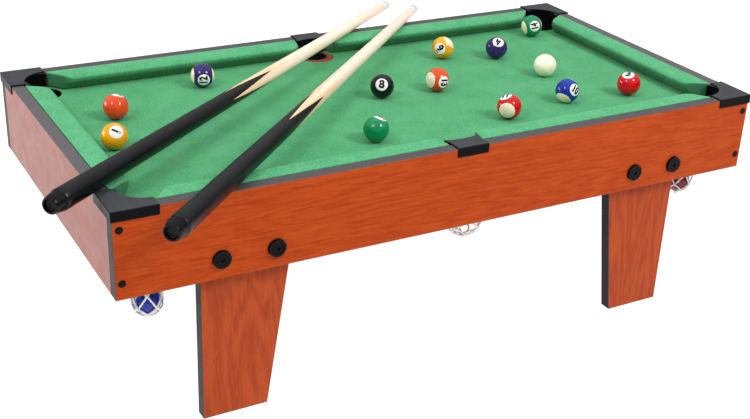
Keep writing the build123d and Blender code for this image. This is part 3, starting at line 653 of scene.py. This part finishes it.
def cord_line(bag, knots, last_row, start, lean):
    """Middle of a cord from the hem to the bottom knot, one column further on at each row."""
    columns = 2 * NET_COLUMNS
    middle = bag.ring.lerp(bag.pouch, 0.5)
    line = []
    for j in range(last_row):
        height, angle = knots[j, (start + lean * j) % columns]
        next_height, next_angle = knots[j + 1, (start + lean * (j + 1)) % columns]
        turn = (next_angle - angle + pi) % (2 * pi) - pi
        for step in range(CORD_STEPS):
            share = step / CORD_STEPS
            spot = bag.spot(height + (next_height - height) * share, angle + turn * share)
            away = (spot.xy - middle).normalized()
            line.append(spot + Vector((*away, 0)) * CROSSING * lean * cos(2 * pi * share))
    height, angle = knots[last_row, (start + lean * last_row) % columns]
    outward = Vector((cos(angle), sin(angle), 0))
    line.append(bag.spot(height, angle))
    line.append(Vector((*bag.pouch, bag.floor)) + outward)
    line.append(Vector((*bag.pouch, bag.floor - 3.0)) + outward * 0.7)
    return line


def knot_line(bag, height, angle):
    """Middle of the small knot where two cords cross."""
    spot = bag.spot(height, angle)
    out = Vector((cos(angle), sin(angle), 0))
    side = Vector((-sin(angle), cos(angle), 0))
    line = []
    for step in range(KNOT_STEPS):
        a = 2 * pi * step / KNOT_STEPS
        across = 0.75 * (sin(a) + 0.9 * sin(2 * a))
        high = 0.8 * (cos(a) - 0.9 * cos(2 * a))
        line.append(spot + side * across + Vector((0, 0, high)) + out * (0.15 - 0.55 * sin(3 * a)))
    return line


def hem_line(bag):
    """Middle of the cord round the net's top."""
    angles = [2 * pi * k / HEM_STEPS for k in range(HEM_STEPS)]
    return [Vector((bag.ring.x + bag.top * cos(a), bag.ring.y + bag.top * sin(a), NET_TOP - 0.4))
            for a in angles]


def coil_line(bag):
    """Middle of the cord wound round the gathered bottom."""
    line = []
    for k in range(COIL_TURNS * COIL_STEPS + 1):
        a = 2 * pi * k / COIL_STEPS
        x = bag.pouch.x + COIL_RADIUS * cos(a)
        y = bag.pouch.y + COIL_RADIUS * sin(a)
        line.append(Vector((x, y, bag.floor - 0.2 - COIL_DROP * k)))
    return line


def net(name, bag, rows, loose, seed, material):
    """Knotted cord net: cords that slant both ways round the bag and cross at knots, a hem cord in
    the pocket's ring, and a wound knot where all of them gather."""
    knots = knot_places(rows, loose, seed)
    last_row = len(rows) - 1
    points, faces = [], []
    for lean in (-1, 1):
        for start in range(0, 2 * NET_COLUMNS, 2):
            line = cord_line(bag, knots, last_row, start, lean)
            add_tube(points, faces, rope(smooth_line(line, 2)))
    for j in range(1, last_row):
        for k in range(j % 2, 2 * NET_COLUMNS, 2):
            line = knot_line(bag, *knots[j, k])
            add_tube(points, faces, rope(line, KNOT_CORD, 0, KNOT_CORD_SIDES), closed=True)
    add_tube(points, faces, rope(hem_line(bag), CORD_RADIUS, HEM_TWIST / bag.top), closed=True)
    add_tube(points, faces, rope(coil_line(bag), COIL_CORD, 0, COIL_CORD_SIDES))
    piece(name + "_cord", [at(*p) for p in points], faces, material, "table", name)


def nets(material):
    for seed, (corner, (u, v, height)) in enumerate(CORNER_POUCHES.items()):
        side_x, side_y = CORNERS[corner]
        ring = (side_x * (HALF_LENGTH - CORNER_HOLE_AT), side_y * (HALF_WIDTH - CORNER_HOLE_AT))
        pouch = (side_x * (HALF_LENGTH - u), side_y * (HALF_WIDTH - v))
        low = height - BALL_POUCH + 0.7
        rows = [NET_TOP - (NET_TOP - height + 2) * k / 6 for k in range(7)] + [low + 5.5, low + 1.2]
        bag = Bag(ring, CORNER_RING, pouch, height, BALL_POUCH)
        net(f"net_{corner}", bag, rows, CORNER_LOOSE, seed * 7.3, material)
    for seed, (name, side) in enumerate((("front", -1), ("back", 1))):
        ring = (0, side * (HALF_WIDTH - MIDDLE_HOLE_AT))
        pouch = (MIDDLE_POUCH_X, side * (HALF_WIDTH - MIDDLE_POUCH_AT))
        bag = Bag(ring, MIDDLE_RING, pouch, MIDDLE_POUCH_HEIGHT, MIDDLE_POUCH)
        net(f"net_middle_{name}", bag, MIDDLE_ROWS, MIDDLE_LOOSE, 31 + seed, material)


# -------------------- balls
# number: its middle from the table's front left corner
BALLS_ON_BED = {
    "cue": (558.5, 174.0), "1": (55.9, 163.3), "3": (608.4, 88.2), "4": (542.1, 247.5), "5": (80.8, 235.9),
    "6": (290.6, 81.5), "8": (354.8, 185.3), "9": (483.5, 271.7), "10": (531.2, 96.2), "11": (446.2, 81.2),
    "12": (193.2, 289.0), "13": (420.2, 180.0), "14": (631.8, 303.5),
}
BALLS_IN_NETS = {"2": "front_left", "7": "front_right", "15": "back_right"}
# how each ball lies: where its number faces, (right, up) as shares of the radius seen from the
# front, and how far the number is turned clockwise, in degrees
BALL_LIES = {
    "1": (0.15, 0.36, -66), "2": (-0.2, 0.95, 0), "3": (-0.08, 0.82, 5), "4": (0.16, 0.58, 180),
    "5": (0.15, 0.985, 0), "6": (0.31, 0.94, 0), "7": (0.0, 0.95, 0), "8": (-0.04, 0.14, 0),
    "9": (-0.31, -0.12, 48), "10": (0.69, 0.10, 43), "11": (-0.35, 0.876, -15), "12": (0.14, -0.44, -91),
    "13": (0.61, -0.22, 95), "14": (0.36, -0.03, -105), "15": (0.3, 0.4, 0), "cue": (0, 0, 0),
}
YELLOW, BLUE, RED = (1.00, 0.39, 0.002), (0.008, 0.030, 0.33), (0.66, 0.0015, 0.006)
PURPLE, ORANGE, GREEN = (0.030, 0.014, 0.13), (0.80, 0.070, 0.012), (0.002, 0.25, 0.085)
MAROON, BLACK = (0.17, 0.006, 0.022), (0.002, 0.002, 0.002)
# balls 1 to 8, and the striped ones again from the start
BALL_COLOURS = (YELLOW, BLUE, RED, PURPLE, ORANGE, GREEN, MAROON, BLACK)
CUE_BALL_IVORY = (1.0, 0.90, 0.68)
IVORY_DEEP, IVORY_PALE = (0.90, 0.76, 0.54), (0.97, 0.84, 0.62)
SPOT_WHITE = (0.88, 0.88, 0.86)
LAST_PLAIN = 8                       # balls above this number are striped
STRIPE_HALF = 0.76                   # half the stripe's width, as a share of the radius
SPOT_FROM_MIDDLE = 0.86              # where the spot starts, as a share of the radius
BLUR = 0.00008
BALL_FACETS = 28                     # along each edge of the cube the ball is made from
FONT_PER_DIGIT = 1.42                # font size for a digit's height
DIGIT_HEIGHT = 8.0
DIGIT_BOLD = 0.6
DIGIT_STAND = 0.02
DIGIT_EDGE = 0.7                     # longest edge in a printed digit
PAIR_SQUEEZE = 0.78                  # width of a two-digit number, as a share
UNDERLINE = ((-2.6, -1.7), (2.6, -1.7), (2.6, -0.6), (-2.6, -0.6))    # below the foot of a 6 or a 9
UNDERLINED_RISE = 0.9


def resin(name, colour, striped, spotted):
    """Polished ball. Its own z axis is the stripe's axis and its number spot faces +X."""
    shade = Shade(name, Specular_IOR_Level=0.40)
    place = shade.place()
    swirl = shade.noise(place, 120.0, detail=3.0)
    pale = tuple(min(1.0, value) for value in dimmed(colour, 1.12))
    base = shade.mix(shade.range(swirl, 0.3, 0.7), dimmed(colour, 0.86), pale)
    ivory = shade.mix(shade.range(swirl, 0.3, 0.7), IVORY_DEEP, IVORY_PALE)
    x, _, z = shade.split(place)
    if striped:
        high = shade.math("ABSOLUTE", z)
        edge = BALL_RADIUS * MM * STRIPE_HALF
        base = shade.mix(shade.range(high, edge - BLUR, edge + BLUR), base, ivory)
    if spotted:
        edge = BALL_RADIUS * MM * SPOT_FROM_MIDDLE
        base = shade.mix(shade.range(x, edge - BLUR, edge + BLUR), base, SPOT_WHITE)
    shade.to("Base Color", base)
    shade.to("Roughness", shade.range(swirl, 0.3, 0.8, 0.06, 0.11))
    return shade.material


def ball_mesh(name):
    """Sphere made from a cube's faces, its points spread evenly."""
    ball = bmesh.new()
    bmesh.ops.create_cube(ball, size=2)
    bmesh.ops.subdivide_edges(ball, edges=ball.edges[:], cuts=BALL_FACETS - 1, use_grid_fill=True)
    for vert in ball.verts:
        x, y, z = (tan(value * pi / 4) for value in vert.co)
        vert.co = Vector((x, y, z)).normalized() * BALL_RADIUS * MM
    mesh = bpy.data.meshes.new(name)
    ball.to_mesh(mesh)
    ball.free()
    mesh.shade_smooth()
    return mesh


def digits_mesh(text):
    """Printed number as a thin skin on the ball's +X side, its top towards +Z."""
    curve = bpy.data.curves.new("digits", "FONT")
    curve.body = text
    curve.size = DIGIT_HEIGHT * FONT_PER_DIGIT * MM
    curve.offset = DIGIT_BOLD * MM
    curve.align_x = "CENTER"
    curve.align_y = "CENTER"
    curve.resolution_u = 6
    flat = placed("digits", curve)
    bpy.context.view_layer.update()
    graph = bpy.context.evaluated_depsgraph_get()
    mesh = bpy.data.meshes.new_from_object(flat.evaluated_get(graph))
    bpy.data.objects.remove(flat)
    bpy.data.curves.remove(curve)
    skin = bmesh.new()
    skin.from_mesh(mesh)
    squeeze = PAIR_SQUEEZE if len(text) > 1 else 1.0
    if text in "69":
        low = min(vert.co.y for vert in skin.verts)
        skin.faces.new([skin.verts.new((x * MM, low + y * MM, 0)) for x, y in UNDERLINE])
        for vert in skin.verts:
            vert.co.y += UNDERLINED_RISE * MM
    bmesh.ops.triangulate(skin, faces=skin.faces[:])
    for _ in range(4):
        long = [edge for edge in skin.edges if edge.calc_length() > DIGIT_EDGE * MM]
        bmesh.ops.subdivide_edges(skin, edges=long, cuts=1)
        bmesh.ops.triangulate(skin, faces=skin.faces[:])
    for vert in skin.verts:
        y, z = vert.co.x * squeeze, vert.co.y
        x = sqrt(max(0.0, (BALL_RADIUS * MM) ** 2 - y * y - z * z))
        vert.co = Vector((x, y, z)).normalized() * (BALL_RADIUS + DIGIT_STAND) * MM
    bmesh.ops.recalc_face_normals(skin, faces=skin.faces[:])
    if sum(face.normal.x for face in skin.faces) < 0:
        bmesh.ops.reverse_faces(skin, faces=skin.faces[:])
    skin.to_mesh(mesh)
    skin.free()
    mesh.shade_smooth()
    return mesh


def ball_turn(centre, right, up, roll):
    """Turn that points a ball's number where BALL_LIES says, seen from the camera's place."""
    back = (Vector(CAMERA_PLACE) - centre).normalized()
    across = Vector((cos(radians(CAMERA_TURN[2])), sin(radians(CAMERA_TURN[2])), 0))
    across = (across - back * across.dot(back)).normalized()
    rise = back.cross(across)
    face = across * right + rise * up + back * sqrt(max(0.0, 1 - right**2 - up**2))
    top = rise * cos(radians(roll)) + across * sin(radians(roll))
    top = (top - face * top.dot(face)).normalized()
    return Matrix((face, top.cross(face), top)).transposed().to_4x4()


def ball_places():
    """Middle of each ball by its number."""
    places = {}
    for number, (x, y) in BALLS_ON_BED.items():
        places[number] = at(x - HALF_LENGTH, y - HALF_WIDTH, PLAY + LIFT_GAP + BALL_RADIUS)
    for number, corner in BALLS_IN_NETS.items():
        side_x, side_y = CORNERS[corner]
        u, v, height = CORNER_POUCHES[corner]
        places[number] = at(side_x * (HALF_LENGTH - u), side_y * (HALF_WIDTH - v), height)
    return places


def ball_piece(name, mesh, material, matrix, node):
    """One mesh of a ball, with its own origin at the ball's middle. It moves with the ball."""
    mesh.name = name
    mesh.materials.clear()
    mesh.materials.append(material)
    made = placed(name, mesh)
    made.matrix_world = matrix
    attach(made, node + "_body")
    return made


def balls():
    ink = moulded("ball_ink", (0.006, 0.006, 0.007), 0.12, 900.0, 0.00001)
    sphere = ball_mesh("ball")
    for number, centre in ball_places().items():
        node = f"ball_{number}"
        matrix = Matrix.Translation(centre) @ ball_turn(centre, *BALL_LIES[number])
        if number == "cue":
            material = resin(node + "_resin", CUE_BALL_IVORY, False, False)
        else:
            colour = BALL_COLOURS[(int(number) - 1) % len(BALL_COLOURS)]
            material = resin(node + "_resin", colour, int(number) > LAST_PLAIN, True)
        ball = ball_piece(node + "_resin", sphere.copy(), material, matrix, node)
        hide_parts(node)
        if number != "cue":
            ball_piece(node + "_number", digits_mesh(number), ink, matrix, node)


# -------------------- cues
CUE_LENGTH = 678.0
CUE_SIDES = 64
BUTT_RADIUS, TIP_RADIUS = 10.0, 5.4
BUMPER_LENGTH = 12.0
FERRULE_LENGTH, TIP_LENGTH = 14.0, 5.0
# butt: its end from the table's front left corner. turn: from +Y, in degrees. rest: the height it
# rests on where it crosses the side named by across. valley, apex: where the black points start and
# end, from the butt. facing: which way one of the points faces, in degrees
CUES = {
    "cue_1": {
        "butt": (-46.4, 9.3), "turn": 52.5, "rest": RIM + 1.6, "across": "x",
        "valley": 279.0, "apex": 365.0, "facing": 20.0,
    },
    "cue_2": {
        "butt": (24.8, -73.7), "turn": 46.4, "rest": RIM + 1.0, "across": "y",
        "valley": 241.0, "apex": 326.0, "facing": -24.0,
    },
}
WOOD_END = CUE_LENGTH - FERRULE_LENGTH - TIP_LENGTH
FERRULE_END = CUE_LENGTH - TIP_LENGTH
# the bumper's (radius, distance from the butt), from the hollow in its end to the wood
BUMPER_PROFILE = (
    (0.6, 4.1), (4.2, 4.0), (5.2, 3.6), (5.5, 2.6), (5.7, 1.0), (5.95, 0.3), (6.4, 0.02), (6.9, 0.05),
    (7.3, 0.3), (7.7, 1.0), (8.2, 3.6), (8.8, 7.4), (9.35, 11.2), (9.42, 11.7), (9.2, 12.0), (1.0, 12.0),
)
CUE_PALE = ((0.92, 0.65, 0.45), (0.98, 0.79, 0.64), (1.0, 0.87, 0.77))
CUE_PALE_STOPS = (0.32, 0.5, 0.68)
CUE_AMBER = (0.90, 0.46, 0.14)       # the wood's stain, strongest next to the black
CUE_BLACK, CUE_SCUFFED = (0.0012, 0.0012, 0.002), (0.0036, 0.0036, 0.006)


def cue_radius(distance):
    return BUTT_RADIUS + (TIP_RADIUS - BUTT_RADIUS) * distance / CUE_LENGTH


def cue_frame(butt, turn, rest, across, valley, apex, facing):
    """Matrix of a cue: its origin at the butt end, its z axis along the cue, and its x axis through
    one of the black points."""
    heading = (sin(radians(turn)), cos(radians(turn)))
    near = -butt[0] / heading[0] if across == "x" else -butt[1] / heading[1]
    far = (2 * HALF_WIDTH - butt[1]) / heading[1]
    low = rest + LIFT_GAP + cue_radius(near)
    high = RIM + 1.0 + LIFT_GAP + cue_radius(far)
    rise = (high - low) / (far - near)
    axis = Vector((*heading, rise)).normalized()
    origin = at(butt[0] - HALF_LENGTH, butt[1] - HALF_WIDTH, low - rise * near)
    seen_from = Vector(CAMERA_PLACE) - (origin + axis * (valley + apex) / 2 * MM)
    front = (seen_from - axis * seen_from.dot(axis)).normalized()
    upper = front.cross(axis)
    if upper.z < 0:
        upper = -upper
    point = front * cos(radians(facing)) + upper * sin(radians(facing))
    return Matrix.Translation(origin) @ Matrix((point, axis.cross(point), axis)).transposed().to_4x4()


def lathe(profile):
    """Rings in metres round the z axis through (radius, height) pairs in millimetres."""
    angles = [2 * pi * k / CUE_SIDES for k in range(CUE_SIDES)]
    return [[Vector((r * MM * cos(a), r * MM * sin(a), z * MM)) for a in angles] for r, z in profile]


def turned(cue, part, stuff, profile, matrix, material):
    """Turned part of a cue, fixed to it."""
    rings = lathe(profile)
    points = [matrix @ p for row in rings for p in row]
    piece(f"{cue}_{part}_{stuff}", points, loops(rings), material, cue, f"{cue}_{part}")


def cue_wood(name, valley, apex):
    """Pale wood with a black lacquered butt that ends in four points. Own z axis along the cue."""
    shade = Shade(name, Specular_IOR_Level=0.25, Coat_Weight=0.06, Coat_Roughness=0.25)
    place = shade.place()
    x, y, z = shade.split(place)
    angle = shade.math("ARCTAN2", y, x)
    quarter = shade.math("PINGPONG", angle, pi / 4)
    share = shade.math("POWER", shade.math("DIVIDE", quarter, pi / 4), 1.12)
    edge = shade.math("SUBTRACT", apex * MM, shade.math("MULTIPLY", share, (apex - valley) * MM))
    past = shade.math("SUBTRACT", z, edge)
    wood_part = shade.range(past, -0.0004, 0.0004)
    grain = shade.scaled(place, (1.0, 1.0, 0.03))
    fine = shade.noise(grain, 900.0, detail=3.0, rough=0.6)
    broad = shade.noise(grain, 160.0, detail=2.0)
    tone = shade.total((fine, 0.6), (broad, 0.4))
    wood = shade.ramp(tone, *zip(CUE_PALE_STOPS, CUE_PALE))
    reach = shade.range(past, 0.0, 0.11, 1.0, 0.0)
    wood = shade.mix(shade.math("MULTIPLY", reach, 0.50), wood, CUE_AMBER)
    scuff = shade.noise(shade.scaled(place, (1, 1, 0.15)), 260.0, detail=3.0)
    black = shade.mix(shade.range(scuff, 0.35, 0.75), CUE_BLACK, CUE_SCUFFED)
    shade.to("Base Color", shade.mix(wood_part, black, wood))
    shade.to("Roughness", shade.range(scuff, 0.3, 0.7, 0.24, 0.36))
    shade.bump(fine, 0.00003, 0.4)
    return shade.material


def cue_stick(name, matrix, material):
    """The long wooden part, with its own origin at the butt's end, as its colours run from there."""
    thick = cue_radius(BUMPER_LENGTH)
    profile = [(thick - 0.5, BUMPER_LENGTH), (thick, BUMPER_LENGTH + 0.6)]
    profile += [(cue_radius(z), z) for z in range(20, int(WOOD_END), 12)]
    profile += [(cue_radius(WOOD_END), WOOD_END)]
    rings = lathe(profile)
    mesh = mesh_of(name + "_wood", [p for row in rings for p in row], loops(rings))
    mesh.materials.append(material)
    mesh.shade_smooth()
    stick = placed(name + "_wood", mesh)
    stick.matrix_world = matrix
    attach(stick, name)
    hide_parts(name + "_stick")


def cues(rubber, ferrule, leather):
    r0, r1 = cue_radius(WOOD_END), cue_radius(FERRULE_END)
    collar = (
        (1, WOOD_END), (r0 - 0.15, WOOD_END), (r0, WOOD_END + 0.2), (r1, FERRULE_END - 0.2),
        (r1 - 0.15, FERRULE_END), (1, FERRULE_END),
    )
    top = CUE_LENGTH
    tip = (
        (1, FERRULE_END), (r1 - 0.1, FERRULE_END), (r1 + 0.05, FERRULE_END + 0.6), (r1, top - 2.6),
        (r1 - 0.5, top - 1.5), (r1 - 1.4, top - 0.7), (r1 - 2.8, top - 0.2), (0.6, top),
    )
    for name, facts in CUES.items():
        matrix = cue_frame(**facts)
        cue_stick(name, matrix, cue_wood(name + "_wood", facts["valley"], facts["apex"]))
        turned(name, "bumper", "rubber", BUMPER_PROFILE, matrix, rubber)
        turned(name, "ferrule", "resin", collar, matrix, ferrule)
        turned(name, "tip", "leather", tip, matrix, leather)


# -------------------- stage
FLOOR_HALF = 6.0
FLOOR_GREY = (0.3, 0.3, 0.3, 1)
FLOOR_GLOW = 0.95
WHITE = (1, 1, 1, 1)
DOME_LOW, DOME_HIGH = 0.12, 1.15      # brightness at the horizon and overhead
TABLE_MIDDLE = (TABLE_X * MM, TABLE_Y * MM, 0.2)
# name: (place, what it aims at, size, power)
LAMPS = {
    "key_left": ((-1.5, -0.57, 1.78), TABLE_MIDDLE, (0.55, 0.55), 12.0),
    "key_right": ((0.85, -1.45, 1.75), TABLE_MIDDLE, (0.55, 0.55), 25.0),
    "glare_left": ((-2.4, 1.9, 0.5), (-0.33, 0.0, 0.19), (1.8, 1.0), 38.0),
}


def lamp(name, place, aim, size, power):
    data = bpy.data.lights.new(name, "AREA")
    data.shape = "RECTANGLE"
    data.size, data.size_y = size
    data.energy = power
    made = placed(name, data)
    made.location = place
    made.rotation_euler = (Vector(aim) - Vector(place)).to_track_quat("-Z", "Y").to_euler()
    made.visible_camera = False


def camera():
    scene = bpy.context.scene
    made = placed("camera", bpy.data.cameras.new("camera"))
    made.location = CAMERA_PLACE
    made.rotation_euler = [radians(a) for a in CAMERA_TURN]
    made.data.lens = CAMERA_LENS
    made.data.sensor_width = SENSOR
    scene.camera = made
    scene.view_settings.view_transform = "Standard"
    scene.view_settings.look = "None"


def dome():
    """White backdrop that lights the table from above more than from the horizon."""
    world = bpy.data.worlds.new("studio")
    bpy.context.scene.world = world
    world.use_nodes = True
    tree = world.node_tree
    background = tree.nodes["Background"]
    path = tree.nodes.new("ShaderNodeLightPath")
    sky = tree.nodes.new("ShaderNodeTexCoord")
    axes = tree.nodes.new("ShaderNodeSeparateXYZ")
    height = tree.nodes.new("ShaderNodeMapRange")
    level = tree.nodes.new("ShaderNodeMapRange")
    height.inputs["To Min"].default_value = DOME_LOW
    height.inputs["To Max"].default_value = DOME_HIGH
    level.inputs["To Max"].default_value = 1.0
    tree.links.new(sky.outputs["Generated"], axes.inputs[0])
    tree.links.new(axes.outputs["Z"], height.inputs["Value"])
    tree.links.new(height.outputs[0], level.inputs["To Min"])
    tree.links.new(path.outputs["Is Camera Ray"], level.inputs["Value"])
    tree.links.new(level.outputs[0], background.inputs["Strength"])
    background.inputs["Color"].default_value = WHITE


def floor():
    s = FLOOR_HALF
    mesh = mesh_of("floor", [(-s, -s, 0), (s, -s, 0), (s, s, 0), (-s, s, 0)], [(0, 1, 2, 3)])
    shade = Shade("floor", Roughness=0.9, Specular_IOR_Level=0.0)
    shade.shader.inputs["Base Color"].default_value = FLOOR_GREY
    shade.shader.inputs["Emission Color"].default_value = WHITE
    shade.shader.inputs["Emission Strength"].default_value = FLOOR_GLOW
    mesh.materials.append(shade.material)
    placed("floor", mesh)


def stage():
    camera()
    dome()
    floor()
    for name, facts in LAMPS.items():
        lamp(name, *facts)


# -------------------- the whole object
def main():
    stage()
    for node, seed in (("front_apron", 1), ("back_apron", 4)):
        paint(node, cherry(node + "_cherry", "x", "XZ", seed))
    for node, seed in (("left_end_board", 2), ("right_end_board", 3)):
        paint(node, cherry(node + "_cherry", "y", "Z", seed, depth=0.62, gloss=0.45))
    for seed, corner in enumerate(CORNERS, 5):
        leg = f"leg_{corner}"
        paint(leg, cherry(leg + "_cherry", "z", "XZ", seed, 0.90, 0.05, haze=0.014, figure_depth=0.17))
    # top: painted light, the paler blue-grey painted on the caps' faces that look up
    satin = moulded("cap_plastic", (0.002, 0.002, 0.003), 0.36, gloss=0.06, top=(0.060, 0.062, 0.070))
    for node in NODES:
        if "_cap_" in node:
            paint(node, satin)
    paint("leg_bolt_washers", moulded("washer_plastic", (0.001, 0.001, 0.001), 0.24, gloss=0.12))
    oxide = moulded("black_oxide", (0.001, 0.001, 0.001), 0.24, 900.0, gloss=0.10)
    paint("leg_bolts", oxide)
    paint("corner_screws", oxide)
    zinc = metal("zinc", (0.62, 0.62, 0.64), 0.3, 1.0)
    paint("leg_nuts", zinc)
    paint("cleat_screws", zinc)
    chips = fibreboard("fibreboard")
    paint("bed_board", chips)
    paint("bed_cleats", chips)
    bed_cloth(felt("bed_felt", BED_FELT, 0.22))
    # nose=0.50: painted shade, the cushions' noses painted at half brightness
    cushions(felt("cushion_felt", CUSHION_FELT, 0.15, nose=0.50))
    nets(cotton("net_cotton"))
    balls()
    rubber = moulded("cue_rubber", (0.002, 0.002, 0.002), 0.30, 900.0, 0.00006, gloss=0.16)
    ferrule = moulded("cue_ferrule", (0.82, 0.81, 0.78), 0.25, 600.0, 0.00001)
    leather = moulded("cue_leather", (0.60, 0.55, 0.48), 0.8, 1200.0, 0.0002)
    cues(rubber, ferrule, leather)


main()
